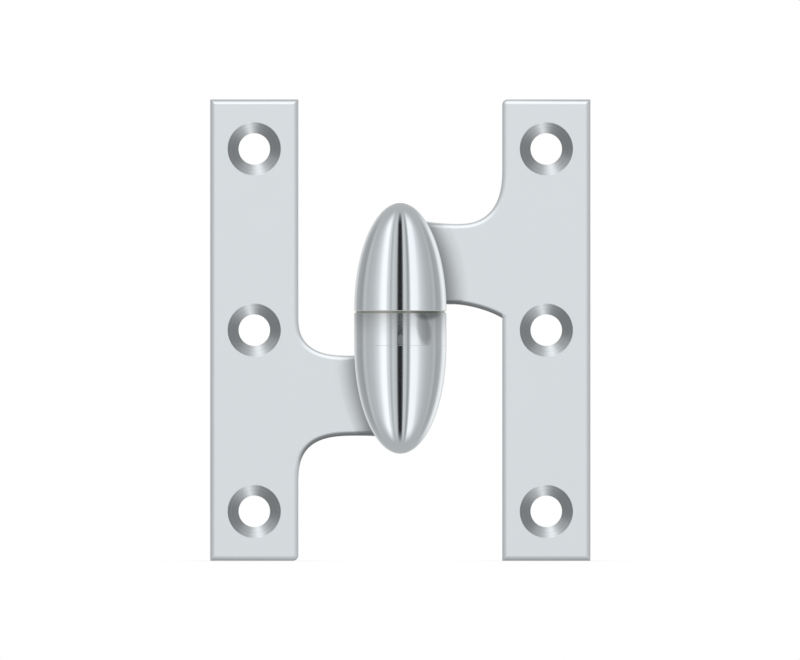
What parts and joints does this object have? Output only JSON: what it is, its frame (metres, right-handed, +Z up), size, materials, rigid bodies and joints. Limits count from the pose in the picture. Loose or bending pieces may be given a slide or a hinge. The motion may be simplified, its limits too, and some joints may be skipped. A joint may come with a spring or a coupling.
{
  "type": "paumelle hinge",
  "caption": "Lift-off paumelle hinge with an olive knuckle, flat countersunk leaves on curved arms, and a ring and a thin washer between the knuckles.",
  "frame": {"origin": "on the pin axis, at the leaves' mid height, which is also the centre of the whole hinge's box", "axes": "+Z up along the pin, from the frame leaf's knuckle to the door leaf's; the countersunk faces look along -Y; open flat, the frame leaf lies towards -X and the door leaf towards +X"},
  "size_m": [0.0524, 0.0126, 0.0636],
  "materials": {
    "leaf_chrome": "bright chrome plate: satin on the flat leaves, polished on the knuckles",
    "pin_steel": "ground steel",
    "collar_chrome": "polished chrome plate",
    "washer_brass": "plain brass"
  },
  "bodies": {
    "frame_side": {"frame_leaf": "leaf_chrome", "hinge_pin": "pin_steel", "bearing_collar": "collar_chrome"},
    "washer": {"thrust_washer": "washer_brass"},
    "door_side": {"door_leaf": "leaf_chrome"}
  },
  "joints": [
    {"name": "swing", "type": "hinge", "parent": "frame_side", "child": "washer", "pos_m": [0, 0, 0], "axis": [0, 0, -1], "range_deg": [-150, 180]},
    {"name": "lift", "type": "slide", "parent": "washer", "child": "door_side", "axis": [0, 0, 1], "range_m": [0, 0.012]}
  ]
}
